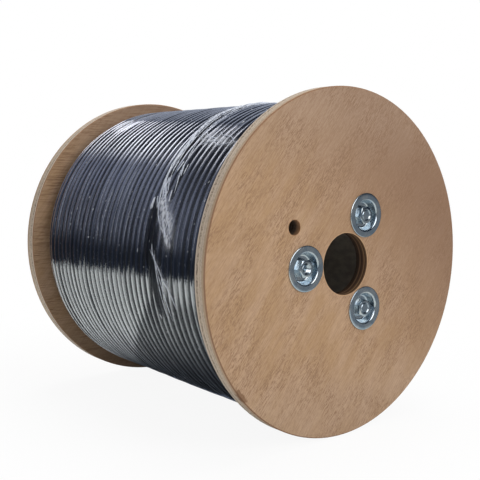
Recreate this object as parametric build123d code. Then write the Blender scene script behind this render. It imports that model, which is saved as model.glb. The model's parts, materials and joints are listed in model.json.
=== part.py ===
"""Plywood cable drum full of black cable under clear stretch film, lying on its two rims.

The drum's axle runs along Y, and the face with the lead hole looks along -Y.
The origin is on the floor, midway between the two rims. All lengths are in millimetres.
"""

import os

from build123d import *

# Flanges: round plywood boards with a spindle bore
flange_diameter = 280.0
flange_thickness = 12.0
rim_break = 0.8
bore_diameter = 50.0
inside_width = 265.0

# Barrel: spiral-wound cardboard tube, seated in a groove in each flange
barrel_diameter = 116.0
barrel_wall = 8.0
barrel_seat_depth = 3.0
barrel_seat_clearance = 0.3

# Winding: level layers of cable, each nesting into the one below, the last one a few turns short
cable_diameter = 7.5
layer_count = 11
layer_rise_share = 0.866
last_layer_missing_turns = 2
winding_barrel_clearance = 0.3

# Lead hole beside the barrel, where the cable's inner end comes out
lead_hole_clearance = 2.25
lead_hole_margin = 0.5
lead_hole_angle = 150.0

# Tie rods: threaded rod just inside the barrel, the first one with its front end drawn in
rod_diameter = 8.0
rod_count = 3
first_rod_angle = 180.0
rod_barrel_gap = 2.0
rod_hole_clearance = 0.5
rod_end_proud = 0.9
first_rod_drop = 3.4

# Hex nuts, each turned as the spanner left it
nut_across_flats = 13.0
nut_height = 6.5
nut_thread_clearance = 0.15
nut_turns = (2.0, 36.0, 8.0)

# Cup washers: pressed sheet, with a flat rim on the face and a cup let into it
washer_diameter = 36.0
washer_sheet = 1.2
cup_diameter = 24.0
cup_depth = 6.5
cup_pocket_clearance = 0.3

# Clear film wrapped tightly round the last layer
film_thickness = 0.3
film_clearance = 0.1
film_end_gap = 1.0

cut_overrun = 1.0

# Places that follow from the sizes above, with z along the axle, out of the front face
inner_face = inside_width / 2
outer_face = inner_face + flange_thickness
barrel_radius = barrel_diameter / 2
barrel_inner_radius = barrel_radius - barrel_wall
rod_hole_radius = rod_diameter / 2 + rod_hole_clearance
rod_circle_radius = barrel_inner_radius - rod_barrel_gap - rod_diameter / 2
rod_end = outer_face + rod_end_proud
lead_hole_radius = cable_diameter / 2 + lead_hole_clearance
lead_hole_place_radius = barrel_radius + lead_hole_margin + lead_hole_radius
layer_rise = layer_rise_share * cable_diameter
winding_radius = barrel_radius + cable_diameter + (layer_count - 1) * layer_rise
last_layer_start = last_layer_missing_turns * cable_diameter - inner_face
cup_floor_level = washer_sheet - cup_depth
drum_plane = Plane(origin=(0, 0, flange_diameter / 2), x_dir=(1, 0, 0), z_dir=(0, -1, 0))
rod_places = PolarLocations(rod_circle_radius, rod_count, start_angle=first_rod_angle, rotate=False).locations


def disc(radius, height, base=0):
    """A round solid about the axle, standing on the given height."""
    return Pos(0, 0, base) * Cylinder(radius, height, align=(Align.CENTER, Align.CENTER, Align.MIN))


def flange():
    """One plywood board, its inner face at height 0 and its outer face up."""
    through = flange_thickness + 2 * cut_overrun
    board = chamfer(disc(flange_diameter / 2, flange_thickness).edges(), rim_break)
    board -= disc(bore_diameter / 2, through, -cut_overrun)

    seat_height = barrel_seat_depth + cut_overrun
    seat = disc(barrel_radius + barrel_seat_clearance, seat_height, -cut_overrun)
    seat -= disc(barrel_inner_radius - barrel_seat_clearance, seat_height, -cut_overrun)
    board -= seat

    pocket_radius = cup_diameter / 2 + washer_sheet + cup_pocket_clearance
    pocket_depth = cup_depth + cup_pocket_clearance
    pocket = disc(pocket_radius, pocket_depth + cut_overrun, flange_thickness - pocket_depth)
    pocket += disc(rod_hole_radius, through, -cut_overrun)
    for place in rod_places:
        board -= place * pocket
    return board


def lead_hole():
    """The cut for the lead hole, right through one board whose inner face is at height 0."""
    place = PolarLocations(lead_hole_place_radius, 1, start_angle=lead_hole_angle).locations[0]
    return place * disc(lead_hole_radius, flange_thickness + 2 * cut_overrun, -cut_overrun)


def barrel():
    """The cardboard tube, reaching to the floor of the groove in each flange."""
    half_length = inner_face + barrel_seat_depth
    tube = disc(barrel_radius, 2 * half_length, -half_length)
    return tube - disc(barrel_inner_radius, 2 * half_length, -half_length)


def cup_washer():
    """Pressed washer about its own axis, the underside of its rim at height 0."""
    cup_radius = cup_diameter / 2
    outline = Polyline(
        (washer_diameter / 2, 0, 0),
        (washer_diameter / 2, 0, washer_sheet),
        (cup_radius, 0, washer_sheet),
        (cup_radius, 0, cup_floor_level),
        (rod_hole_radius, 0, cup_floor_level),
        (rod_hole_radius, 0, cup_floor_level - washer_sheet),
        (cup_radius + washer_sheet, 0, cup_floor_level - washer_sheet),
        (cup_radius + washer_sheet, 0, 0),
        close=True,
    )
    return revolve(make_face(outline), Axis.Z)


def hex_nut():
    """A hex nut about its own axis, its seat at height 0."""
    hexagon = RegularPolygon(nut_across_flats / 2, 6, major_radius=False)
    return extrude(hexagon, nut_height) - disc(rod_diameter / 2 + nut_thread_clearance, nut_height)


def tie_rod(front_end):
    """A length of rod from the back nut to the given height at the front."""
    return disc(rod_diameter / 2, front_end + rod_end, -rod_end)


def winding():
    """All the cable as one turned solid on the barrel, from flange to flange."""
    cable = disc(winding_radius - layer_rise, inside_width, -inner_face)
    cable += disc(winding_radius, inner_face - last_layer_start, last_layer_start)
    return cable - disc(barrel_radius + winding_barrel_clearance, inside_width, -inner_face)


def film():
    """A taut sleeve over the turns of the last layer."""
    inside_radius = winding_radius + film_clearance
    back_edge = last_layer_start + film_end_gap
    width = inner_face - film_end_gap - back_edge
    return disc(inside_radius + film_thickness, width, back_edge) - disc(inside_radius, width, back_edge)


def at_both_ends(pieces):
    """The given pieces at the front, and mirrored at the back."""
    return Compound(pieces + [mirror(piece, Plane.XY) for piece in pieces])


def drum_pieces():
    """Every piece by name, in place about the axle, with the front up."""
    washers = []
    nuts = []
    rods = {}
    for number, place in enumerate(rod_places, start=1):
        front_end = rod_end - first_rod_drop if number == 1 else rod_end
        nut_seat = Pos(0, 0, outer_face + cup_floor_level) * Rot(0, 0, nut_turns[number - 1])
        washers.append(place * Pos(0, 0, outer_face) * cup_washer())
        nuts.append(place * nut_seat * hex_nut())
        rods[f"tie_rod_{number}"] = place * tie_rod(front_end)
    return {
        "flange_front": Pos(0, 0, inner_face) * (flange() - lead_hole()),
        "flange_back": mirror(Pos(0, 0, inner_face) * flange(), Plane.XY),
        "barrel_tube": barrel(),
        "cable_winding": winding(),
        "stretch_film": film(),
        "cup_washers": at_both_ends(washers),
        "hex_nuts": at_both_ends(nuts),
        **rods,
    }


os.makedirs("parts", exist_ok=True)
for name, piece in drum_pieces().items():
    export_step(drum_plane.location * piece, os.path.join("parts", name + ".step"))
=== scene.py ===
"""Plywood cable drum, full of black cable under clear stretch film.

The axle runs along Y, and the face with the lead hole looks along -Y. Lengths are in metres.
"""

import json
import math
import random

import bmesh
import bpy
from bpy.props import FloatProperty, IntProperty, PointerProperty
from mathutils import Matrix, Vector, noise


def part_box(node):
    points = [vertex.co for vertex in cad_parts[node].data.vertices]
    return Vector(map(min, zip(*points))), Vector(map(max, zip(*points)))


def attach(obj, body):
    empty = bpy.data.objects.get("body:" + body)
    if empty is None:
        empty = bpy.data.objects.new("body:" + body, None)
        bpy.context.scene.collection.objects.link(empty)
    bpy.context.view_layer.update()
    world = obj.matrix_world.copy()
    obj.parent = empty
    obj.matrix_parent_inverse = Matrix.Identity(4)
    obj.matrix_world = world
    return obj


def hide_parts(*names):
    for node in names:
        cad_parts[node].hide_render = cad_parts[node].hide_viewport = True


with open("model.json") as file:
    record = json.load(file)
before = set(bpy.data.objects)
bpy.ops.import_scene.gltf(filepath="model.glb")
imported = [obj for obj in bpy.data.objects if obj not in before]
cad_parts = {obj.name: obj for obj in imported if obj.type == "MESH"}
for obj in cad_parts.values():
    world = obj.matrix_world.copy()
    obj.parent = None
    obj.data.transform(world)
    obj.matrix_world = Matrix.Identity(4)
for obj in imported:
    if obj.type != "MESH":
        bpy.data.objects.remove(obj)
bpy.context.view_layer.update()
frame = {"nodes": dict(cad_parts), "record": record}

bl_info = {
    "name": "Cable Drum",
    "version": (1, 0, 0),
    "blender": (4, 5, 0),
    "location": "View3D > Sidebar > Cable Drum",
    "description": "Finishes a plywood drum of cable under clear film and sets its stage",
    "category": "Object",
}

MM = 0.001

# Rise from one layer of cable to the next, and how near verts join
LAYER_RISE = 6.5 * MM
WELD = 1e-6

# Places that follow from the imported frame
board_low, board_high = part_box("flange_front")
winding_low, winding_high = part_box("cable_winding")
film_low, film_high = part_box("stretch_film")
AXLE_HEIGHT = (board_low.z + board_high.z) / 2
AXLE = Vector((0, 0, AXLE_HEIGHT))
OUTER_FACE = -board_low.y
INNER_FACE = winding_high.y
BOARD_THICKNESS = board_high.y - board_low.y
BOARD_RADIUS = (board_high.z - board_low.z) / 2
WINDING_RADIUS = (winding_high.z - winding_low.z) / 2
FILM_EDGE = -film_low.y
LAST_LAYER_EDGE = film_high.y
ROD_BOXES = [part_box(f"tie_rod_{number}") for number in (1, 2, 3)]
LEAD_HOLE = Vector(frame["record"]["mounts"][1]["pos_m"])
LEAD_HOLE_RADIUS = frame["record"]["mounts"][1]["dims"]["r_mm"] * MM
BORE_RADIUS = frame["record"]["mounts"][0]["dims"]["r_mm"] * MM


def linear(colour, gain=1.0):
    """A colour written as an sRGB hex string, as linear red, green, blue and alpha, times a gain."""
    parts = [int(colour[start:start + 2], 16) / 255 for start in (1, 3, 5)]
    return (*[gain * (c / 12.92 if c <= 0.04045 else ((c + 0.055) / 1.055) ** 2.4) for c in parts], 1.0)


# Choices that many shader nodes share
SMOOTH = {"interpolation_type": "SMOOTHSTEP"}
COLOURS = {"data_type": "RGBA"}
PLUS = {"operation": "ADD"}
MINUS = {"operation": "SUBTRACT"}
TIMES = {"operation": "MULTIPLY"}
OVER = {"operation": "DIVIDE"}
LARGEST = {"operation": "MAXIMUM"}
SIZE = {"operation": "ABSOLUTE"}
LENGTH = {"operation": "LENGTH"}


def add(tree, kind, *values, named=None, **settings):
    """One shader node: settings are its choices, and values go to its inputs in order or by name.

    A value is a plain one, an output of another node, or a node, which gives its first output.
    """
    node = tree.nodes.new("ShaderNode" + kind)
    for name, choice in settings.items():
        setattr(node, name, choice)
    pairs = list(zip([socket for socket in node.inputs if socket.enabled], values))
    pairs += [(node.inputs[name], value) for name, value in (named or {}).items()]
    for socket, value in pairs:
        if isinstance(value, bpy.types.Node):
            value = next(output for output in value.outputs if output.enabled)
        if isinstance(value, bpy.types.NodeSocket):
            tree.links.new(value, socket)
        else:
            socket.default_value = value
    return node


def place(tree, centre=(0, 0, 0), turn=(0, 0, 0), size=(1, 1, 1)):
    """Object coordinates about a centre, turned, in steps of the given sizes."""
    coords = add(tree, "TexCoord").outputs["Object"]
    return add(tree, "Mapping", coords, centre, turn, size, vector_type="TEXTURE")


def new_material(name):
    """An empty node material and its tree."""
    material = bpy.data.materials.new(name)
    material.use_nodes = True
    material.node_tree.nodes.clear()
    return material, material.node_tree


def end_material(material, tree, shader):
    """Joins the shader to the material's output."""
    add(tree, "OutputMaterial", shader)
    return material


# Plies by their share of the board's depth, how speckled each one is, and the lines burnt into the bore
PLIES = (
    (0.0, "#8f6c50"), (0.07, "#bda184"), (0.27, "#d2c2ac"), (0.285, "#cbb9a2"), (0.47, "#b5a088"),
    (0.485, "#d2c1ab"), (0.62, "#c3b09a"), (0.80, "#a58c74"), (0.815, "#d5c5b2"), (0.94, "#9a7759"),
)
SPECKLED = ((0.0, "#6c6c6c"), (0.27, "#aaaaaa"), (0.485, "#898989"), (0.62, "#ffffff"), (0.80, "#595959"))
BURNS = (
    (0.0, "#b89470"), (0.06, "#7d6045"), (0.2, "#4b3728"), (0.27, "#a07d5a"), (0.36, "#5a4230"),
    (0.55, "#3f2d20"), (0.62, "#80634a"), (0.75, "#36261b"),
)
# Steps so long along the axle that only the distance from it counts
FLAT_ALONG_AXLE = (1, 1e6, 1)


def plywood():
    """Tan face veneer with short slanting pores, over pale cross-laid plies with speckled end grain."""
    look = bpy.context.scene.drum_boards
    material, tree = new_material("Okoume plywood")
    slant = (0, -math.radians(look.grain_slant), 0)
    x, y, z = add(tree, "SeparateXYZ", place(tree, AXLE)).outputs
    depth = add(tree, "Math", OUTER_FACE, add(tree, "Math", y, **SIZE), **MINUS)
    share = add(tree, "Math", depth, BOARD_THICKNESS, **OVER)

    # Pores of the face veneer and of the plies laid across it
    slanted = add(tree, "TexNoise", place(tree, AXLE, slant, (3.4 * MM, 1.0 * MM, 0.5 * MM)), 1.0, 3.0, 0.65)
    level = add(tree, "TexNoise", place(tree, AXLE, size=(14 * MM, 1.0 * MM, 0.8 * MM)), 1.0, 3.0, 0.6)
    at_back = add(tree, "MapRange", y, -0.01, 0.01, **SMOOTH)
    along = add(tree, "Mix", at_back, slanted, level, **COLOURS)
    across = add(tree, "TexNoise", place(tree, AXLE, size=(1.3 * MM, 0.9 * MM, 1.3 * MM)), 1.0, 1.0, 0.5)
    cloud = add(tree, "TexNoise", place(tree, AXLE, slant, (45 * MM, 20 * MM, 16 * MM)), 1.0, 3.0, 0.6)
    patches = add(tree, "TexNoise", place(tree, AXLE, slant, (38 * MM, 20 * MM, 24 * MM)), 1.0, 2.0, 0.55)
    streaks = add(tree, "TexNoise", place(tree, AXLE, slant, (22 * MM, 2.0 * MM, 0.9 * MM)), 1.0, 2.0, 0.6)
    patchy = add(tree, "MapRange", patches, 0.38, 0.62, 0.35, 1.0, **SMOOTH)
    pores = add(tree, "Math", add(tree, "MapRange", along, 0.38, 0.56, 1.0, 0.0, **SMOOTH), patchy, **TIMES)
    flecks_and_glints = add(tree, "MapRange", along, 0.56, 0.72, **SMOOTH)

    # The veneer's colour, with each tint laid over the ones before: painted shade towards the upper right,
    # painted light paler towards the top and bottom, then pores, streaks and flecks
    cloudy = add(tree, "MapRange", cloud, 0.3, 0.7, **SMOOTH)
    veneer = add(tree, "Mix", cloudy, linear("#a98864"), linear("#b59678"), **COLOURS)
    up = add(tree, "Math", z, 0.65, **TIMES)
    up_right = add(tree, "Math", add(tree, "Math", x, 0.75, **TIMES), up, **PLUS)
    tints = (
        # Painted shade darker towards the upper right, and painted light paler towards the top and bottom
        (add(tree, "MapRange", up_right, -0.05, 0.125, **SMOOTH), "#886b55"),
        (add(tree, "MapRange", add(tree, "Math", z, **SIZE), 0.06, 0.125, 0.0, 0.4, **SMOOTH), "#ab947f"),
        (add(tree, "Math", pores, 0.75, **TIMES), "#7b5c44"),
        (add(tree, "MapRange", streaks, 0.35, 0.6, 0.3, 0.0, **SMOOTH), "#86674c"),
        (add(tree, "Math", flecks_and_glints, 0.12, **TIMES), "#c2a486"),
    )
    for amount, tint in tints:
        veneer = add(tree, "Mix", amount, veneer, linear(tint), **COLOURS)

    # Colours by depth in the board
    ramps = []
    for stops, how in ((PLIES, "CONSTANT"), (SPECKLED, "CONSTANT"), (BURNS, "LINEAR")):
        ramp = add(tree, "ValToRGB", share)
        ramp.color_ramp.interpolation = how
        for index, (start, tint) in enumerate(stops):
            stop = ramp.color_ramp.elements[index] if index < 2 else ramp.color_ramp.elements.new(start)
            stop.position = start
            stop.color = linear(tint)
        ramps.append(ramp)
    plies, speckled, burnt = ramps
    specks = add(tree, "MapRange", across, 0.42, 0.5, 0.8, 0.0, **SMOOTH)
    specks = add(tree, "Math", specks, speckled, **TIMES)
    edge = add(tree, "Mix", specks, plies, linear("#5a4a3a"), **COLOURS)

    # The two faces show the veneer, and everything else is cut through the plies
    normal = add(tree, "SeparateXYZ", add(tree, "TexCoord").outputs["Normal"])
    flat = add(tree, "MapRange", add(tree, "Math", normal.outputs["Y"], **SIZE), 0.85, 0.95, **SMOOTH)
    colour = add(tree, "Mix", flat, edge, veneer, **COLOURS)

    # Burnt brown inside the bore, and in the lead hole a brown painted darker deeper in as shade
    reach = add(tree, "VectorMath", place(tree, AXLE, size=FLAT_ALONG_AXLE), **LENGTH)
    bore = add(tree, "MapRange", reach, BORE_RADIUS + 0.1 * MM, BORE_RADIUS + 0.8 * MM, 1.0, 0.0, **SMOOTH)
    colour = add(tree, "Mix", bore, colour, burnt, **COLOURS)
    reach = add(tree, "VectorMath", place(tree, LEAD_HOLE, size=FLAT_ALONG_AXLE), **LENGTH)
    lead = add(tree, "MapRange", reach, LEAD_HOLE_RADIUS, LEAD_HOLE_RADIUS + 0.7 * MM, 0.85, 0.0, **SMOOTH)
    # Painted shade: the lead hole's wall goes from brown near the face to near black deeper into the board
    brown = add(tree, "MapRange", share, 0.12, 0.5, **SMOOTH)
    brown = add(tree, "Mix", brown, linear("#a27a57"), linear("#2a1d15"), **COLOURS)
    colour = add(tree, "Mix", lead, colour, brown, **COLOURS)

    # Veneer chipped away beside the rim
    chip_spin = math.radians(look.chip_angle)
    chip_centre = AXLE + Vector((math.cos(chip_spin), 0, math.sin(chip_spin))) * (BOARD_RADIUS - 1.6 * MM)
    chip_centre.y = -OUTER_FACE
    chip_turn = (0, -(chip_spin + math.pi / 2), 0)
    chip_place = place(tree, chip_centre, chip_turn, (11 * MM, 9 * MM, 2.6 * MM))
    ragged = add(tree, "TexNoise", place(tree, AXLE, size=(3 * MM,) * 3), 1.0, 2.0, 0.55)
    ragged = add(tree, "Math", ragged, 0.9, **TIMES)
    ragged = add(tree, "Math", add(tree, "VectorMath", chip_place, **LENGTH), ragged, **PLUS)
    chip = add(tree, "MapRange", ragged, 1.0, 1.35, 0.75, 0.0, **SMOOTH)
    colour = add(tree, "Mix", chip, colour, linear("#6f4c30"), **COLOURS)

    height = add(tree, "Math", add(tree, "Math", flecks_and_glints, 0.3, **TIMES), pores, **MINUS)
    bump = add(tree, "Bump", named={"Strength": 0.25, "Distance": 0.15 * MM, "Height": height})
    rough = add(tree, "MapRange", along, 0.3, 0.7, 0.72, 0.58, **SMOOTH)
    inputs = {"Base Color": colour, "Roughness": rough, "IOR": 1.45, "Normal": bump}
    return end_material(material, tree, add(tree, "BsdfPrincipled", named=inputs))


def cardboard():
    """Dull grey-brown paper tube with faint turns of its spiral strip."""
    material, tree = new_material("Spiral cardboard")
    fibres = add(tree, "TexNoise", place(tree, AXLE, size=(4 * MM, 9 * MM, 4 * MM)), 1.0, 3.0, 0.55)
    cloudy = add(tree, "MapRange", fibres, 0.3, 0.7, **SMOOTH)
    colour = add(tree, "Mix", cloudy, linear("#9c958b"), linear("#b3aca1"), **COLOURS)
    rough = add(tree, "MapRange", fibres, 0.3, 0.7, 0.8, 0.9, **SMOOTH)
    inputs = {"Base Color": colour, "Roughness": rough, "IOR": 1.45}
    return end_material(material, tree, add(tree, "BsdfPrincipled", named=inputs))


def zinc():
    """Bright zinc plating with a faint blue cast and uneven shine."""
    material, tree = new_material("Zinc-plated steel")
    cloud = add(tree, "TexNoise", place(tree, size=(7 * MM,) * 3), 1.0, 2.0, 0.55)
    cloudy = add(tree, "MapRange", cloud, 0.3, 0.7, **SMOOTH)
    colour = add(tree, "Mix", cloudy, linear("#b4c2ce"), linear("#d3d8da"), **COLOURS)
    rough = add(tree, "MapRange", cloud, 0.3, 0.7, 0.15, 0.2, **SMOOTH)
    inputs = {"Base Color": colour, "Metallic": 1.0, "Roughness": rough}
    return end_material(material, tree, add(tree, "BsdfPrincipled", named=inputs))


def jacket():
    """Navy-black cable jacket with a soft shine."""
    material, tree = new_material("Black PVC jacket")
    cloud = add(tree, "TexNoise", place(tree, size=(6 * MM,) * 3), 1.0, 2.0, 0.55)
    cloudy = add(tree, "MapRange", cloud, 0.3, 0.7, **SMOOTH)
    colour = add(tree, "Mix", cloudy, linear("#08090e"), linear("#0e1018"), **COLOURS)
    rough = add(tree, "MapRange", cloud, 0.3, 0.7, 0.38, 0.48, **SMOOTH)
    inputs = {"Base Color": colour, "Roughness": rough, "IOR": 1.48}
    return end_material(material, tree, add(tree, "BsdfPrincipled", named=inputs))


def clear_film():
    """Layers of clear film that mirror like stacked glass plates, less over gaps and in folds as painted
    shade, go white in creases, and show painted glints as white flecks.
    """
    look = bpy.context.scene.drum_film
    material, tree = new_material("Clear stretch film")

    # How much all the layers mirror, on a turn and over a gap, where painted shade dims it
    once = add(tree, "Fresnel", 1.5)
    surfaces = 2 * look.layers
    stacked = add(tree, "Math", 1.0, add(tree, "Math", once, surfaces - 1, **TIMES), **PLUS)
    mirrored = add(tree, "Math", add(tree, "Math", once, surfaces, **TIMES), stacked, **OVER)
    # Painted shade: the film mirrors less between turns, in the folds, beside the rope and under the front
    # edge, so the black cable shows darker there
    gap_shade = add(tree, "Attribute", attribute_name="gap_shade").outputs["Fac"]
    streak = add(tree, "TexNoise", place(tree, AXLE, size=(14 * MM, 0.9 * MM, 14 * MM)), 1.0, 2.0, 0.5)
    uneven = add(tree, "Math", gap_shade, add(tree, "Math", streak, 0.3, **TIMES), **PLUS)
    gap_shaded_shine = add(tree, "MapRange", uneven, 0.22, 0.95, 1.0, look.gap_shine, **SMOOTH)
    dull_shade = add(tree, "MapRange", gap_shade, 0.75, 1.5, 1.0, 0.15, **SMOOTH)
    mirrored = add(tree, "Math", mirrored, add(tree, "Math", gap_shaded_shine, dull_shade, **TIMES), **TIMES)

    # Clear film with that much shine
    ripple = add(tree, "TexNoise", place(tree, AXLE, size=(9 * MM, 3 * MM, 9 * MM)), 1.0, 3.0, 0.6)
    bump = add(tree, "Bump", named={"Strength": 0.2, "Distance": 0.3 * MM, "Height": ripple})
    rough = add(tree, "MapRange", ripple, 0.3, 0.7, 0.07, 0.13, **SMOOTH)
    shine = add(tree, "BsdfGlossy", linear("#f7f9ff"), rough, named={"Normal": bump})
    clear = add(tree, "BsdfTransparent", linear("#f3f6fc"))
    taut = add(tree, "MixShader", mirrored, clear, shine)

    # White in the creases, which are torn into short lengths, and painted glints in a few white flecks
    haze = add(tree, "Attribute", attribute_name="crease").outputs["Fac"]
    torn = add(tree, "TexNoise", place(tree, AXLE, size=(4 * MM, 1.3 * MM, 4 * MM)), 1.0, 3.0, 0.55)
    broken = add(tree, "Math", haze, add(tree, "MapRange", torn, 0.36, 0.6, 0.2, 1.0, **SMOOTH), **TIMES)
    flecks_and_glints = add(tree, "TexNoise", place(tree, AXLE, size=(4.5 * MM, 1.4 * MM, 4.5 * MM)), 1.0, 1.0, 0.4)
    flecks_and_glints = add(tree, "MapRange", flecks_and_glints, 0.74, 0.78, 0.0, 0.6, **SMOOTH)
    broken = add(tree, "Math", broken, flecks_and_glints, **LARGEST)
    milk = add(tree, "BsdfDiffuse", linear("#e3e7ee"))
    return end_material(material, tree, add(tree, "MixShader", broken, taut, milk))


def gathered_film():
    """Film drawn into strands: white along each ply, partly as painted glints, dark and clear in the grooves,
    with sharp glints.
    """
    material, tree = new_material("Gathered stretch film")
    streak = add(tree, "TexNoise", place(tree, AXLE, size=(2.5 * MM, 1.2 * MM, 2.5 * MM)), 1.0, 3.0, 0.6)
    ply = add(tree, "Attribute", attribute_name="ply").outputs["Fac"]
    bump = add(tree, "Bump", named={"Strength": 1.0, "Distance": 0.6 * MM, "Height": streak})
    shine = add(tree, "BsdfGlossy", linear("#f9fcff"), 0.08, named={"Normal": bump})
    clear = add(tree, "BsdfTransparent", linear("#bcc2ce"))
    milk = add(tree, "BsdfDiffuse", linear("#e9effb"), named={"Normal": bump})
    # White along each ply and in streaks: the gathered film's own milky white, broken up by the streaks into
    # painted glints
    pale = add(tree, "Math", add(tree, "Math", ply, 0.4, **TIMES), streak, **PLUS)
    pale = add(tree, "MapRange", pale, 0.42, 0.56, 0.0, 0.97, **SMOOTH)
    body = add(tree, "MixShader", pale, clear, milk)
    return end_material(material, tree, add(tree, "MixShader", 0.3, body, shine))


def new_piece(name, bm, material, nodes, sharp=None):
    """Ends a piece: welds it, turns its faces outward, and lays it on the frame in place of the CAD nodes."""
    bmesh.ops.remove_doubles(bm, verts=bm.verts, dist=WELD)
    bmesh.ops.recalc_face_normals(bm, faces=bm.faces)
    mesh = bpy.data.meshes.new(name)
    bm.to_mesh(mesh)
    bm.free()
    mesh.polygons.foreach_set("use_smooth", [True] * len(mesh.polygons))
    if sharp:
        mesh.set_sharp_from_angle(angle=math.radians(sharp))
    mesh.materials.append(material)
    piece = bpy.data.objects.new(name, mesh)
    bpy.context.collection.objects.link(piece)
    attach(piece, "root")
    if nodes:
        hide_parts(*nodes)
    return piece


def chain(bm, points, closed=False):
    """A line of vertices joined by edges."""
    verts = [bm.verts.new(point) for point in points]
    ends = verts[1:] + verts[:1] if closed else verts[1:]
    edges = [bm.edges.new(pair) for pair in zip(verts, ends)]
    return verts + edges


def wander(y, angle):
    """How far a turn strays along the axle and outward at that place, as laid by hand."""
    around = Vector((y / MM * 0.16, 1.6 * math.cos(angle), 1.6 * math.sin(angle)))
    return 0.55 * MM * noise.noise(around), 0.5 * MM * noise.noise(around * 1.3 + Vector((5, 9, 2)))


def smooth(value, start, end):
    """Goes smoothly from 0 to 1 as the value goes from start to end."""
    share = max(0.0, min(1.0, (value - start) / (end - start)))
    return share * share * (3 - 2 * share)


def polar(point):
    """Angle from the top towards -X, and distance from the axle."""
    return math.atan2(-point.x, point.z - AXLE_HEIGHT), math.hypot(point.x, point.z - AXLE_HEIGHT)


def at(angle, radius, y):
    """The point at that angle from the top, distance from the axle and place along it."""
    return Vector((-radius * math.sin(angle), y, AXLE_HEIGHT + radius * math.cos(angle)))


def cut_ends(bm, limit):
    """Trims everything beyond that distance along the axle on either side."""
    for side in (-1, 1):
        everything = bm.verts[:] + bm.edges[:] + bm.faces[:]
        plane = {"plane_co": (0, side * limit, 0), "plane_no": (0, side, 0)}
        bmesh.ops.bisect_plane(bm, geom=everything, dist=1e-7, clear_outer=True, **plane)


def wind_cable(settings):
    """The outer layer as a helix of round cable, over the layers below."""
    bm = bmesh.new()
    pitch = 2 * INNER_FACE / settings.turns
    radius = settings.cable_diameter / 2
    middle = WINDING_RADIUS - radius
    start = -math.pi
    section = []
    for step in range(settings.sides):
        turn = 2 * math.pi * step / settings.sides
        section.append(at(start, middle + radius * math.cos(turn), radius * math.sin(turn)))
    geom = chain(bm, section, closed=True)
    lead = Vector((0, pitch / settings.steps, 0))
    once_round = {"cent": AXLE, "angle": 2 * math.pi, "steps": settings.steps}
    bmesh.ops.spin(bm, geom=geom, axis=(0, -1, 0), dvec=lead, use_merge=False, **once_round)
    one_turn = bm.verts[:] + bm.edges[:] + bm.faces[:]
    first = -(settings.turns // 2 + 1) * pitch
    bmesh.ops.translate(bm, verts=bm.verts[:], vec=(0, first, 0))
    for number in range(1, settings.turns + 3):
        copy = bmesh.ops.duplicate(bm, geom=one_turn)["geom"]
        verts = [item for item in copy if isinstance(item, bmesh.types.BMVert)]
        bmesh.ops.translate(bm, verts=verts, vec=(0, number * pitch, 0))
    bmesh.ops.remove_doubles(bm, verts=bm.verts[:], dist=1e-5)
    for vert in bm.verts:
        angle, distance = polar(vert.co)
        turn = angle / (2 * math.pi)
        middle_y = (math.floor(vert.co.y / pitch - turn) + 0.5 + turn) * pitch
        drop = LAYER_RISE * smooth(middle_y, LAST_LAYER_EDGE - 0.4 * pitch, LAST_LAYER_EDGE + 0.1 * pitch)
        aside, outward = wander(middle_y, angle)
        vert.co = at(angle, distance + outward - drop - 0.45 * MM, vert.co.y + aside)
    cut_ends(bm, INNER_FACE)

    # The layers below, from the barrel to under the outer turns
    barrel_low, barrel_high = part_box("barrel_tube")
    inside = (barrel_high.z - barrel_low.z) / 2 + 0.3 * MM
    outside = middle - LAYER_RISE - radius * 0.3
    corners = ((inside, -INNER_FACE), (outside, -INNER_FACE), (outside, INNER_FACE), (inside, INNER_FACE))
    geom = chain(bm, [at(0, reach, y) for reach, y in corners], closed=True)
    bmesh.ops.spin(bm, geom=geom, axis=(0, 1, 0), use_merge=True, **once_round)
    return bm


# One degree round the winding, in mm, and how far from a fold the film is still drawn up, in mm
ARC = math.radians(1) * WINDING_RADIUS / MM
FOLD_REACH = 12
# Folds of bunched film: points in degrees from the top and mm along the axle, height, half width, whiteness
FOLDS = (
    (((-60, -48), (-20, -52), (14, -52), (29, -51), (43, -56), (53, -55), (63, -59)), 0.7, 2.6, 0.1),
    (((66, -63), (70, -68), (75, -74), (80, -80)), 1.1, 3.4, 0.95),
    (((67, -65), (71, -72), (75, -80), (81, -84)), 1.2, 3.6, 1.0),
    (((68, -66), (72, -77), (76, -84)), 1.0, 3.0, 0.85),
    (((66, -61), (71, -65), (78, -75)), 0.9, 2.2, 0.6),
    (((86, -65), (90, -73), (98, -87), (103, -92)), 0.5, 1.0, 0.3),
    (((39, -66), (41, -84), (42, -102), (43, -114)), 0.5, 3.0, 0.65),
)
# Where the film spans flat: degrees from the top, mm along the axle, half sizes in each, and how flat
SPANS = (
    (75, -57, 9, 6, 1.0), (84, -62, 9, 7, 1.0), (95, -66, 9, 6, 1.0), (26, 86, 10, 26, 0.6),
    (34, -60, 9, 7, 0.8), (38, -90, 9, 26, 0.7), (70, -70, 7, 8, 0.9),
)
# Painted shadow on the film, between the bunched film and the next turns and in a band along the rope
FOLD_SHADOWS = (
    (74, -57, 8, 8), (83, -61, 9, 9), (92, -65, 9, 9), (100, -68, 9, 6), (14, -56, 6, 3), (22, -53, 6, 3),
    (29, -55, 6, 3), (36, -57, 6, 3), (43, -60, 6, 3), (50, -60, 6, 3), (57, -60, 5, 3),
)


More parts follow.
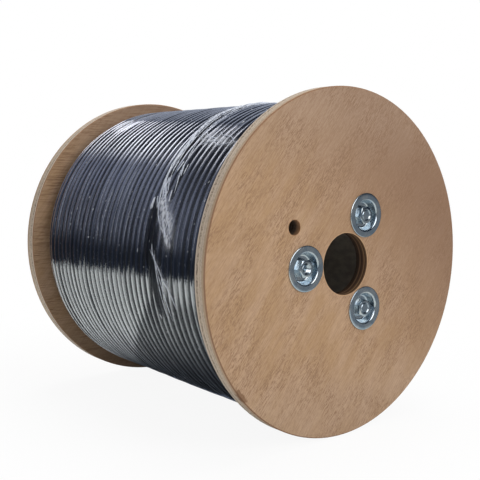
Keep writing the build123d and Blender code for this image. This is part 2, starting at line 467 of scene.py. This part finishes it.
def fold_height(arc, y):
    """Height in mm and whiteness of the bunched film, at a place in mm round the winding and along it."""
    height = 0.0
    white = 0.0
    for line, tall, wide, pale in FOLDS:
        nearest = math.inf
        for (a0, y0), (a1, y1) in zip(line, line[1:]):
            ax, bx = a0 * ARC, a1 * ARC
            beside = min(ax, bx) - FOLD_REACH < arc < max(ax, bx) + FOLD_REACH
            if not (beside and min(y0, y1) - FOLD_REACH < y < max(y0, y1) + FOLD_REACH):
                continue
            length = (bx - ax) ** 2 + (y1 - y0) ** 2
            share = max(0.0, min(1.0, ((arc - ax) * (bx - ax) + (y - y0) * (y1 - y0)) / length))
            nearest = min(nearest, math.hypot(arc - ax - share * (bx - ax), y - y0 - share * (y1 - y0)))
        if nearest < FOLD_REACH:
            rough = 0.75 + 0.7 * noise.noise(Vector((arc * 0.1, y * 0.45, tall * 9)))
            height = max(height, tall * rough * math.exp(-(nearest / wide) ** 2))
            white = max(white, pale * rough * math.exp(-(nearest / (wide * 1.3)) ** 2))
    return height, white


def turn_dip(phase, pitch, radius, touch):
    """How far the film dips below the crests at that share of a turn."""
    offset = abs(phase - math.floor(phase) - 0.5) * pitch
    reach = radius * math.sin(touch)
    if offset < reach:
        return radius - math.sqrt(radius ** 2 - offset ** 2)
    run = pitch / 2 - reach
    beyond = (offset - reach) / run
    return radius * (1 - math.cos(touch)) + run * math.tan(touch) * (beyond - 0.5 * beyond ** 2)


def wrap_film(settings, winding):
    """The film round the turns: it follows the crests, dips between them and is bunched near the front."""
    bm = bmesh.new()
    crease = bm.verts.layers.float.new("crease")
    # Painted shade over the turns, which the film's material reads
    gap_shade = bm.verts.layers.float.new("gap_shade")
    pitch = 2 * INNER_FACE / winding.turns
    radius = winding.cable_diameter / 2
    columns = (winding.turns + 3) * settings.samples
    bmesh.ops.create_grid(bm, x_segments=columns, y_segments=settings.rows, size=1.0)
    half = (winding.turns + 3) * pitch / 2
    touch = math.radians(settings.hug)
    deepest = turn_dip(0.0, pitch, radius, touch)
    for vert in bm.verts:
        angle = vert.co.y * math.pi
        degrees = math.degrees(angle)
        y = vert.co.x * half + pitch * angle / (2 * math.pi)
        phase = vert.co.x * half / pitch
        dip = turn_dip(phase, pitch, radius, touch)
        aside, outward = wander(y, angle)
        arc = degrees * ARC
        high, white = fold_height(arc, y / MM)

        # How far it is lifted out of the dips, and how far it lies off the crests
        span = 0.0
        for a0, y0, da, dy, flat in SPANS:
            far = math.hypot((degrees - a0) / da, (y / MM - y0) / dy)
            span = max(span, flat * (1 - smooth(far, 0.6, 1.1)))
        # Painted shadow of the fold and of the rope, kept off the white creases
        fold_shadow = 0.0
        for a0, y0, da, dy in FOLD_SHADOWS:
            far = math.hypot((degrees - a0) / da, (y / MM - y0) / dy)
            fold_shadow = max(fold_shadow, 1 - smooth(far, 0.5, 1.1))
        slope = LAYER_RISE * smooth(y, LAST_LAYER_EDGE - 5 * MM, INNER_FACE + 4 * MM) * 1.15
        slack = settings.slack * smooth(y, 60 * MM, -35 * MM) * smooth(abs(degrees), 105, 150)
        around = Vector((math.floor(phase) * 3.7, 1.2 * math.cos(angle), 1.2 * math.sin(angle)))
        loose = 0.35 * (0.5 + noise.noise(around))
        lift = max(span, min(1.0, high), min(0.9, slack / (2.5 * MM)), min(0.9, slope / (1.5 * MM)), loose)
        crumple = noise.noise(Vector((y / MM * 0.25, arc * 0.03, 3.0))) * 0.3 * MM
        distance = WINDING_RADIUS + 0.15 * MM + outward - dip * (1 - 0.9 * lift)
        distance = distance + high * MM + crumple * (0.15 + span)
        vert.co = at(angle, distance - slope + slack, y + aside)
        vert[crease] = min(1.0, white)

        # Painted shade: duller in the gaps between turns, under the front edge and beside the rope
        around = Vector((round(phase) * 5.3, 1.4 * math.cos(angle), 1.4 * math.sin(angle)))
        between = dip / deepest * (0.9 + 0.6 * noise.noise(around)) * (1 - 0.8 * max(span, min(1.0, high)))
        edge = -58 + 2.4 * (degrees - 99) - y / MM
        dull_shade = 0.45 * smooth(degrees, 96, 104) * smooth(edge, -4, 10) * (1 - 0.4 * smooth(degrees, 122, 140))
        beside = smooth(-y, 60 * MM, 68 * MM) * smooth(degrees, 22, 40) * (1 - smooth(degrees, 58, 75))
        dull_shade = max(dull_shade, 0.42 * beside)
        between *= 1 + 0.6 * smooth(degrees, 95, 125)
        vert[gap_shade] = max(between + dull_shade, 1.8 * fold_shadow * (1 - white))
    bmesh.ops.remove_doubles(bm, verts=bm.verts[:], dist=2e-5)
    cut_ends(bm, FILM_EDGE)
    return bm


# Strands of gathered film: (degrees from the top, mm along the axle) along each one, then its thickness in mm
STRANDS = (
    (((-70, -46), (-40, -50), (-10, -53), (6, -53), (14, -52), (22, -49), (29, -51), (36, -53), (43, -56),
      (49, -56), (56, -56), (62, -59)), 2.1),
    (((-40, -47), (-10, -50), (10, -49), (22, -46), (30, -48), (38, -52), (46, -54), (53, -53)), 1.1),
    (((0, -56), (14, -55), (26, -54), (38, -57), (48, -59), (58, -61)), 0.7),
    (((58, -57), (66, -63), (72, -70), (78, -78), (82, -83)), 1.0),
    (((60, -59), (68, -70), (74, -80), (79, -85)), 0.9),
    (((58, -55), (66, -59), (72, -64), (77, -73)), 0.9),
    (((82, -62), (86, -65), (90, -73), (94, -79), (98, -87), (103, -92)), 0.6),
    (((84, -60), (88, -68), (94, -74), (100, -79), (108, -83)), 0.5),
    (((84, -66), (92, -70), (100, -74), (110, -78)), 0.5),
    (((36, -62), (46, -68), (56, -72), (64, -76)), 0.6),
    (((12, -59), (20, -61), (28, -62), (36, -61)), 0.6),
    (((4, -44), (14, -43), (24, -42), (30, -44)), 0.6),
    (((36, -64), (39, -72), (40, -80), (41, -90)), 0.5),
    (((41, -68), (40, -78), (42, -88), (41, -98)), 0.5),
    (((37, -84), (39, -92), (40, -104), (43, -114)), 0.5),
    (((44, -72), (42, -84), (44, -96), (43, -108)), 0.5),
)
# How many short strands and their seed, faces round each strand, and rings from one of its points to the next
GLINT_COUNT = 18
GLINT_SEED = 11
STRAND_SIDES = 12
STEPS_PER_LENGTH = 22


def short_glints():
    """Short crumpled strands between the rope's lower end and the white patch, scattered by a seed."""
    scatter = random.Random(GLINT_SEED)
    lines = []
    for _ in range(GLINT_COUNT):
        angle, y = scatter.uniform(50, 66), scatter.uniform(-76, -51)
        lean = scatter.uniform(-2.5, 1.0)
        line = tuple((angle + 2.2 * step, y + lean * step) for step in range(3))
        lines.append((line, scatter.uniform(0.5, 0.9)))
    return lines


def strand_place(line, share):
    """Angle in radians and place along the axle, a share of the way along a smooth line of points."""
    spot = share * (len(line) - 1)
    index = min(int(spot), len(line) - 2)
    t = spot - index
    p = [Vector(line[max(0, min(len(line) - 1, index + k))]) for k in (-1, 0, 1, 2)]
    point = 0.5 * (2 * p[1] + (p[2] - p[0]) * t + (2 * p[0] - 5 * p[1] + 4 * p[2] - p[3]) * t ** 2
                   + (3 * p[1] - p[0] - 3 * p[2] + p[3]) * t ** 3)
    return math.radians(point.x), point.y * MM


def gather_film():
    """The film's loose edge, drawn into twisted strands over the turns."""
    bm = bmesh.new()
    ply = bm.verts.layers.float.new("ply")
    for number, (line, thick) in enumerate([*STRANDS, *short_glints()]):
        steps = STEPS_PER_LENGTH * (len(line) - 1)
        for step in range(steps + 1):
            share = step / steps
            angle, y = strand_place(line, share)
            ahead_angle, ahead_y = strand_place(line, min(1.0, share + 0.5 / steps))
            behind_angle, behind_y = strand_place(line, max(0.0, share - 0.5 / steps))
            out = (at(angle, 1.0, 0) - AXLE).normalized()
            level = WINDING_RADIUS + 0.2 * MM + 0.3 * thick * MM
            run = (at(ahead_angle, level, ahead_y) - at(behind_angle, level, behind_y)).normalized()
            wide = out.cross(run).normalized()
            taper = smooth(share, -0.02, 0.12) * smooth(1 - share, -0.02, 0.2)
            uneven = 1 + 0.45 * noise.noise(Vector((share * len(line) * 2.3, number * 5.1, 0)))
            size = thick / 2 * MM * (0.15 + 0.85 * taper) * uneven
            points = []
            crests = []
            for side in range(STRAND_SIDES):
                turn = 2 * math.pi * side / STRAND_SIDES
                lobe = math.cos(3 * turn + share * steps * 0.42 + number)
                crests.append((0.5 + 0.5 * lobe) * smooth(thick, 0.3, 1.0))
                reach = size * (1 + 0.35 * lobe)
                across = wide * math.cos(turn) * reach * 1.25
                points.append(at(angle, level, y) + across + out * math.sin(turn) * reach * 0.85)

            # The next ring of the strand, with its verts in the order of the ring before
            if step == 0:
                order = bmesh.ops.create_circle(bm, segments=STRAND_SIDES, radius=1.0)["verts"]
                first = order
            else:
                made = bmesh.ops.extrude_edge_only(bm, edges=ring)["geom"]
                verts = [item for item in made if isinstance(item, bmesh.types.BMVert)]
                joined = {edge.other_vert(vert): vert for vert in verts for edge in vert.link_edges}
                order = [joined[old] for old in order]
            for vert, point, crest in zip(order, points, crests):
                vert.co = point
                vert[ply] = crest
            loop = set(order)
            edges = {edge for vert in order for edge in vert.link_edges}
            ring = [edge for edge in edges if loop.issuperset(edge.verts)]
        bmesh.ops.contextual_create(bm, geom=first)
        bmesh.ops.contextual_create(bm, geom=order)
    return bm


def spin_profile(bm, profile, centre, side, steps=64):
    """A turned piece about a line along Y, from pairs of radius and height over the outer face in mm."""
    points = []
    for reach, height in profile:
        points.append(centre + Vector((reach * MM, -side * (OUTER_FACE + height * MM), 0)))
    geom = chain(bm, points, closed=True)
    bmesh.ops.spin(bm, geom=geom, cent=centre, axis=(0, 1, 0), angle=2 * math.pi, steps=steps, use_merge=True)


def rod_centre(number):
    """The middle of a tie rod, on the plane between the boards."""
    low, high = ROD_BOXES[number]
    return Vector(((low.x + high.x) / 2, 0, (low.z + high.z) / 2))


# Half section of a cup washer: the rim, the lip and the cup inside, then back along the outside
WASHER_PROFILE = (
    (18.0, 0.1), (18.0, 0.8), (17.75, 1.1), (17.3, 1.2), (13.7, 1.2), (13.1, 1.1), (12.6, 0.75),
    (12.25, 0.2), (12.0, -0.6), (11.0, -4.1), (10.7, -4.75), (10.2, -5.15), (9.5, -5.3), (4.5, -5.3),
    (4.5, -6.5), (9.6, -6.5), (10.9, -6.2), (11.8, -5.4), (12.3, -4.2), (13.2, -0.5), (13.45, -0.05),
    (13.9, 0.0), (17.8, 0.0),
)


def press_washers():
    """Three cup washers on each board: a flat rim that bends over a rounded lip into the cup."""
    bm = bmesh.new()
    for side in (1, -1):
        for number in range(3):
            spin_profile(bm, WASHER_PROFILE, rod_centre(number), side)
    return bm


# The thread, and how deep it is cut on the rods
THREAD_PITCH = 1.25 * MM
THREAD_DEPTH = 0.55 * MM


def thread(bm, centre, root, crest, low, high, steps, phase=0.0):
    """A screw thread about a line along Y, from low to high."""
    count = int((high - low) / THREAD_PITCH) + 4
    points = []
    for index in range(2 * count + 1):
        reach = crest if index % 2 else root
        points.append(centre + Vector((reach, low + (index / 2 - 2 + phase) * THREAD_PITCH, 0)))
    geom = chain(bm, points)
    before = set(bm.verts) - {item for item in geom if isinstance(item, bmesh.types.BMVert)}
    lead = (0, THREAD_PITCH / steps, 0)
    once_round = {"cent": centre, "axis": (0, 1, 0), "angle": 2 * math.pi, "steps": steps}
    bmesh.ops.spin(bm, geom=geom, dvec=lead, use_merge=False, **once_round)
    made = [vert for vert in bm.verts if vert not in before]
    bmesh.ops.remove_doubles(bm, verts=made, dist=WELD)
    for level, out in ((low, -1), (high, 1)):
        verts = [vert for vert in bm.verts if vert not in before]
        edges = list({edge for vert in verts for edge in vert.link_edges})
        faces = list({face for vert in verts for face in vert.link_faces})
        plane = {"plane_co": (0, level, 0), "plane_no": (0, out, 0)}
        bmesh.ops.bisect_plane(bm, geom=verts + edges + faces, dist=1e-7, clear_outer=True, **plane)


def screw_rod(number, settings):
    """One threaded tie rod with flat ends."""
    bm = bmesh.new()
    low, high = ROD_BOXES[number]
    radius = (high.x - low.x) / 2
    thread(bm, rod_centre(number), radius - THREAD_DEPTH, radius, low.y, high.y, settings.thread_steps)
    tip = 0.5 * MM
    for end in (low.y, high.y):
        inward = Vector((0, -math.copysign(tip / 2, end), 0))
        spot = Matrix.Translation(Vector((rod_centre(number).x, end, rod_centre(number).z)) + inward)
        turn = Matrix.Rotation(-math.copysign(math.pi / 2, end), 4, "X")
        inputs = {"segments": 24, "radius1": radius, "radius2": radius - tip, "depth": tip}
        bmesh.ops.create_cone(bm, cap_ends=True, matrix=spot @ turn, **inputs)
    return bm


# Nuts: how each one is turned in degrees, then their seat's height over the outer face and radii in mm
NUT_TURNS = (2.0, 36.0, 8.0)
NUT_SEAT = -5.3
NUT_HOLE = 4.25
NUT_MOUTH = 4.6
NUT_THREAD_ROOT = 4.2
NUT_THREAD_CREST = 3.6


def cut_nuts(settings):
    """A hex nut in each cup: a ring drawn out to six sides, with a chamfered top and a thread inside."""
    bm = bmesh.new()
    flat = settings.across_flats / 2
    crown = 0.96 * flat
    top = NUT_SEAT + settings.nut_height / MM
    profile = (
        (flat / MM, NUT_SEAT), (flat / MM, top), (crown / MM, top),
        (NUT_MOUTH, top), (NUT_HOLE, top - NUT_MOUTH + NUT_HOLE), (NUT_HOLE, NUT_SEAT),
    )
    sixth = math.pi / 3
    for side, number in ((1, 0), (1, 1), (1, 2), (-1, 0), (-1, 1), (-1, 2)):
        centre = rod_centre(number)
        before = set(bm.verts)
        spin_profile(bm, profile, centre, side, steps=48)
        made = [vert for vert in bm.verts if vert not in before]
        for vert in made:
            offset = Vector((vert.co.x - centre.x, 0, vert.co.z - centre.z))
            if offset.length > crown + 0.05 * MM:
                turn = math.atan2(offset.z, offset.x) - sixth / 2
                drawn = offset / math.cos(turn - sixth * round(turn / sixth))
                vert.co += drawn - offset
                if abs(vert.co.y) > OUTER_FACE:
                    vert.co.y += side * (drawn.length - crown) * math.tan(math.pi / 6)
        spin = Matrix.Rotation(-math.radians(NUT_TURNS[number]), 3, "Y")
        bmesh.ops.rotate(bm, verts=made, cent=centre, matrix=spin)
        low, high = sorted(-side * (OUTER_FACE + end * MM) for end in (NUT_SEAT, top))
        thread(bm, centre, NUT_THREAD_ROOT * MM, NUT_THREAD_CREST * MM, low, high, steps=24, phase=0.5)
    return bm


def add_lamp(name, location, size, level):
    """A soft square lamp that gives a facing white sheet at the drum's middle about that brightness."""
    lamp = bpy.data.lights.new(name, "AREA")
    lamp.shape = "SQUARE"
    lamp.size = size
    towards = AXLE - Vector(location)
    lamp.energy = level * (math.pi * towards.length) ** 2
    holder = bpy.data.objects.new(name, lamp)
    holder.location = location
    holder.rotation_mode = "QUATERNION"
    holder.rotation_quaternion = towards.to_track_quat("-Z", "Y")
    holder.visible_glossy = False
    bpy.context.collection.objects.link(holder)


def floor_paint():
    """White paper: it keeps a faint shadow round the drum, and under the drum it is painted darker for the
    film that mirrors it, as painted shade.
    """
    material, tree = new_material("White floor")
    x, y, _ = add(tree, "SeparateXYZ", place(tree)).outputs
    rays = add(tree, "LightPath").outputs
    half_width = add(tree, "MapRange", y, 0.16, -0.1, 0.07, 0.13, **SMOOTH)
    aside = add(tree, "Math", add(tree, "Math", x, **SIZE), half_width, **MINUS)
    past_face = add(tree, "Math", add(tree, "Math", y, **SIZE), OUTER_FACE, **MINUS)
    beyond = add(tree, "Math", aside, past_face, **LARGEST)
    seen = add(tree, "MapRange", beyond, 0.0, 0.35, 0.92, 1.0, **SMOOTH)
    seen = add(tree, "Math", rays["Is Camera Ray"], seen, **TIMES)
    mirrored = add(tree, "MapRange", beyond, -0.03, 0.09, **SMOOTH)
    mirrored = add(tree, "Math", rays["Is Glossy Ray"], mirrored, **TIMES)
    # Painted shade: shiny parts see darker paper under the drum than the eye does
    paper = add(tree, "Mix", rays["Is Glossy Ray"], linear("#f3f3f3"), linear("#aab1b8"), **COLOURS)
    matt = add(tree, "BsdfDiffuse", paper)
    dim = add(tree, "MapRange", x, 0.12, 0.3, **SMOOTH)
    dim = add(tree, "Mix", dim, linear("#dfe3df"), linear("#7c8186"), **COLOURS)
    white = add(tree, "Emission", add(tree, "Mix", rays["Is Glossy Ray"], linear("#ffffff"), dim, **COLOURS))
    share = add(tree, "Math", mirrored, rays["Is Transmission Ray"], **PLUS)
    share = add(tree, "Math", seen, share, use_clamp=True, **PLUS)
    return end_material(material, tree, add(tree, "MixShader", share, matt, white))


def within(tree, amount, *bands):
    """The amount inside soft bands: a value, its edge's start and end, and what that goes from and to."""
    for value, *edge in bands:
        amount = add(tree, "Math", amount, add(tree, "MapRange", value, *edge, **SMOOTH), **TIMES)
    return amount


def room_paint():
    """The dim studio that shows in shiny things: a panel behind the drum, a softbox and blue-grey walls."""
    material, tree = new_material("Dim studio")
    x, y, z = add(tree, "SeparateXYZ", place(tree)).outputs
    wall = linear("#2a303c")
    for start, end, tint in ((0.1, 0.3, "#5d6373"), (0.3, 0.6, "#858ca0"), (0.9, 1.3, "#4b515f")):
        higher = add(tree, "MapRange", z, start, end, **SMOOTH)
        wall = add(tree, "Mix", higher, wall, linear(tint), **COLOURS)

    # Behind the drum: the panel, with the plain grey wall to its right
    behind = add(tree, "MapRange", y, 0.58, 0.59, **SMOOTH)
    slope = add(tree, "Math", z, add(tree, "Math", x, 1.09, **TIMES), **PLUS)
    panel = within(tree, behind, (slope, 0.30, 0.58), (x, 0.115, 0.135, 1.0, 0.0), (z, 1.0, 1.3, 1.0, 0.0))
    right = within(tree, behind, (x, 0.12, 0.2))
    wall = add(tree, "Mix", right, wall, linear("#9aa0ad"), **COLOURS)
    wall = add(tree, "Mix", panel, wall, linear("#f8f9ff", 1.6), **COLOURS)

    # A thin bright gap between two screens on the left
    strip = add(tree, "Math", add(tree, "Math", y, 0.12, **MINUS), **SIZE)
    strip = add(tree, "MapRange", strip, 0.03, 0.06, 0.8, 0.0, **SMOOTH)
    strip = within(tree, strip, (x, -0.5, -0.52), (z, 0.12, 0.3))
    wall = add(tree, "Mix", strip, wall, linear("#dadfed"), **COLOURS)

    # The softbox above the camera
    front = add(tree, "MapRange", y, -0.6, -0.615, **SMOOTH)
    lamp = add(tree, "MapRange", z, 0.22, 0.34, **SMOOTH)
    lamp = within(tree, lamp, (z, 0.75, 0.9, 1.0, 0.0), (x, -0.75, -0.6), (x, 0.1, 0.25, 1.0, 0.0))
    grey = add(tree, "MapRange", z, 0.16, 0.3, **SMOOTH)
    grey = add(tree, "Mix", grey, linear("#7c8084"), linear("#2c343e"), **COLOURS)
    lamp = add(tree, "Mix", lamp, grey, linear("#ffffff", 2.6), **COLOURS)
    wall = add(tree, "Mix", front, wall, lamp, **COLOURS)
    far_right = add(tree, "MapRange", x, 1.28, 1.29, **SMOOTH)
    wall = add(tree, "Mix", far_right, wall, linear("#28323e"), **COLOURS)
    return end_material(material, tree, add(tree, "Emission", wall))


# Half size of the floor, and the dim studio's height and its corners on the floor, just above it
FLOOR_HALF = 6.0
ROOM_HEIGHT = 1.7
ROOM_GAP = 0.001
ROOM_PLAN = ((1.3, 0.6), (-0.45, 0.6), (-0.45, 0.35), (-0.95, -0.25), (-0.95, -0.62), (1.3, -0.62))


def set_stage(settings):
    """Camera, lamps, white floor and the dim room in the reflections."""
    scene = bpy.context.scene
    scene.view_settings.view_transform = "Standard"

    # The camera as the photo's flange rims give it
    turn = math.radians(settings.azimuth)
    lift = math.radians(settings.elevation)
    back = Vector((math.sin(turn) * math.cos(lift), -math.cos(turn) * math.cos(lift), math.sin(lift)))
    right = Vector((math.cos(turn), math.sin(turn), 0))
    up = back.cross(right)
    data = bpy.data.cameras.new("camera")
    data.lens = settings.lens
    data.sensor_width = 36.0
    data.clip_start = 0.01
    camera = bpy.data.objects.new("camera", data)
    camera.location = AXLE + right * settings.aside + up * settings.above + back * settings.distance
    camera.rotation_mode = "QUATERNION"
    camera.rotation_quaternion = (-back).to_track_quat("-Z", "Y")
    scene.collection.objects.link(camera)
    scene.camera = camera

    # White floor
    bm = bmesh.new()
    bmesh.ops.create_grid(bm, x_segments=8, y_segments=8, size=FLOOR_HALF)
    mesh = bpy.data.meshes.new("floor")
    bm.to_mesh(mesh)
    bm.free()
    mesh.materials.append(floor_paint())
    floor = bpy.data.objects.new("floor", mesh)
    scene.collection.objects.link(floor)

    # The dim room, which only shiny things see
    bm = bmesh.new()
    plan = chain(bm, [(x, y, ROOM_GAP) for x, y in ROOM_PLAN], closed=True)
    walls = bmesh.ops.extrude_edge_only(bm, edges=plan[len(ROOM_PLAN):])["geom"]
    tops = [item for item in walls if isinstance(item, bmesh.types.BMVert)]
    bmesh.ops.translate(bm, verts=tops, vec=(0, 0, ROOM_HEIGHT))
    bmesh.ops.contextual_create(bm, geom=tops)
    mesh = bpy.data.meshes.new("room")
    bm.to_mesh(mesh)
    bm.free()
    mesh.materials.append(room_paint())
    room = bpy.data.objects.new("room", mesh)
    for ray in ("camera", "diffuse", "shadow", "transmission", "volume_scatter"):
        setattr(room, "visible_" + ray, False)
    scene.collection.objects.link(room)

    # Soft lamps, and a plain sky that is white where the eye looks at it
    add_lamp("overhead lamp", location=(0.3, 0.2, 2.0), size=1.5, level=0.6)
    add_lamp("front lamp", location=(0.5, -2.0, 1.1), size=1.4, level=0.55)
    world = bpy.data.worlds.new("studio")
    world.use_nodes = True
    tree = world.node_tree
    tree.nodes.clear()
    rays = add(tree, "LightPath").outputs
    shown = add(tree, "Math", rays["Is Glossy Ray"], rays["Is Transmission Ray"], **LARGEST)
    shown = add(tree, "Math", rays["Is Camera Ray"], shown, **LARGEST)
    lit = add(tree, "Mix", shown, linear("#a6a6a8"), linear("#ffffff"), **COLOURS)
    add(tree, "OutputWorld", add(tree, "Background", lit))
    scene.world = world


class DrumBoards(bpy.types.PropertyGroup):
    """Looks of the plywood boards."""

    grain_slant: FloatProperty(
        name="Grain slant", description="Angle of the face grain from level, in degrees", default=50.0,
    )
    chip_angle: FloatProperty(
        name="Chip", description="Where the rim is chipped, in degrees from +X", default=-140.6,
    )


class DrumWinding(bpy.types.PropertyGroup):
    """Sizes of the wound cable."""

    turns: IntProperty(name="Turns", description="Turns side by side between the boards", default=35, min=1)
    cable_diameter: FloatProperty(
        name="Cable", description="Thickness of the cable", default=7.5 * MM, unit="LENGTH",
    )
    sides: IntProperty(name="Sides", description="Faces round the cable", default=12, min=6)
    steps: IntProperty(name="Steps", description="Lengths in each turn", default=96, min=24)


class DrumFilm(bpy.types.PropertyGroup):
    """Sizes of the film."""

    layers: IntProperty(name="Layers", description="Layers of film over each other", default=7, min=1)
    gap_shine: FloatProperty(name="Gap shine", description="Shine left between turns", default=0.16)
    hug: FloatProperty(
        name="Hug", description="How far round each turn the film touches, in degrees", default=50.0,
    )
    samples: IntProperty(name="Samples", description="Faces across each turn", default=8, min=4)
    rows: IntProperty(name="Rows", description="Faces round the drum", default=288, min=60)
    slack: FloatProperty(
        name="Slack", description="How far the film hangs off underneath", default=0.8 * MM, unit="LENGTH",
    )


class DrumHardware(bpy.types.PropertyGroup):
    """Sizes of the steel pieces."""

    across_flats: FloatProperty(
        name="Across flats", description="Width of a nut", default=13.0 * MM, unit="LENGTH",
    )
    nut_height: FloatProperty(
        name="Nut height", description="Height of a nut", default=6.5 * MM, unit="LENGTH",
    )
    thread_steps: IntProperty(name="Thread steps", description="Faces round each thread", default=16, min=8)


class DrumStage(bpy.types.PropertyGroup):
    """The camera and the room."""

    azimuth: FloatProperty(
        name="Azimuth", description="Camera's turn round the drum, in degrees", default=-38.84,
    )
    elevation: FloatProperty(
        name="Elevation", description="Camera's height over level, in degrees", default=5.89,
    )
    distance: FloatProperty(
        name="Distance", description="Camera to the drum's middle", default=0.7482, unit="LENGTH",
    )
    aside: FloatProperty(
        name="Aside", description="Camera's shift to the right", default=0.00627, unit="LENGTH",
    )
    above: FloatProperty(
        name="Above", description="Camera's shift upward", default=0.00763, unit="LENGTH",
    )
    lens: FloatProperty(name="Lens", description="Focal length in millimetres", default=59.87)


class DRUM_OT_boards(bpy.types.Operator):
    """Paint the plywood boards and the cardboard barrel"""

    bl_idname = "drum.boards"
    bl_label = "Finish boards and barrel"

    def execute(self, context):
        wood = plywood()
        for name, material in (("flange_front", wood), ("flange_back", wood), ("barrel_tube", cardboard())):
            frame["nodes"][name].data.materials.clear()
            frame["nodes"][name].data.materials.append(material)
        return {"FINISHED"}


class DRUM_OT_winding(bpy.types.Operator):
    """Lay the turns of cable"""

    bl_idname = "drum.winding"
    bl_label = "Wind cable"

    def execute(self, context):
        cable = wind_cable(context.scene.drum_winding)
        new_piece("cable_turns", cable, jacket(), ["cable_winding"])
        return {"FINISHED"}


class DRUM_OT_film(bpy.types.Operator):
    """Wrap the film round the turns"""

    bl_idname = "drum.film"
    bl_label = "Wrap film"

    def execute(self, context):
        film = wrap_film(context.scene.drum_film, context.scene.drum_winding)
        wrap = new_piece("film_wrap", film, clear_film(), ["stretch_film"])
        strands = new_piece("film_strands", gather_film(), gathered_film(), [])
        return {"FINISHED"}


class DRUM_OT_hardware(bpy.types.Operator):
    """Press the washers, screw in the rods and fit the nuts"""

    bl_idname = "drum.hardware"
    bl_label = "Fit washers, nuts and rods"

    def execute(self, context):
        settings = context.scene.drum_hardware
        steel = zinc()
        new_piece("pressed_washers", press_washers(), steel, ["cup_washers"], sharp=50)
        new_piece("threaded_nuts", cut_nuts(settings), steel, ["hex_nuts"], sharp=35)
        for number in range(3):
            rod = screw_rod(number, settings)
            node = f"tie_rod_{number + 1}"
            new_piece(f"threaded_rod_{number + 1}", rod, steel, [node], sharp=35)
        return {"FINISHED"}


class DRUM_OT_stage(bpy.types.Operator):
    """Set the camera, lamps and floor"""

    bl_idname = "drum.stage"
    bl_label = "Set stage"

    def execute(self, context):
        set_stage(context.scene.drum_stage)
        return {"FINISHED"}


class DRUM_PT_panel(bpy.types.Panel):
    """Lists the drum's steps in the sidebar."""

    bl_idname = "DRUM_PT_panel"
    bl_label = "Cable Drum"
    bl_space_type = "VIEW_3D"
    bl_region_type = "UI"
    bl_category = "Cable Drum"

    def draw(self, context):
        for operator in STEPS:
            self.layout.operator(operator.bl_idname)


GROUPS = {
    "drum_boards": DrumBoards,
    "drum_winding": DrumWinding,
    "drum_film": DrumFilm,
    "drum_hardware": DrumHardware,
    "drum_stage": DrumStage,
}
STEPS = (DRUM_OT_boards, DRUM_OT_winding, DRUM_OT_film, DRUM_OT_hardware, DRUM_OT_stage)


def register():
    for group in (*GROUPS.values(), *STEPS, DRUM_PT_panel):
        bpy.utils.register_class(group)
    for name, group in GROUPS.items():
        setattr(bpy.types.Scene, name, PointerProperty(type=group))


def unregister():
    for name in GROUPS:
        delattr(bpy.types.Scene, name)
    for group in reversed((*GROUPS.values(), *STEPS, DRUM_PT_panel)):
        bpy.utils.unregister_class(group)


def main():
    """Finishes the drum and its stage."""
    register()
    bpy.ops.drum.boards()
    bpy.ops.drum.winding()
    bpy.ops.drum.film()
    bpy.ops.drum.hardware()
    bpy.ops.drum.stage()


if __name__ == "__main__":
    main()
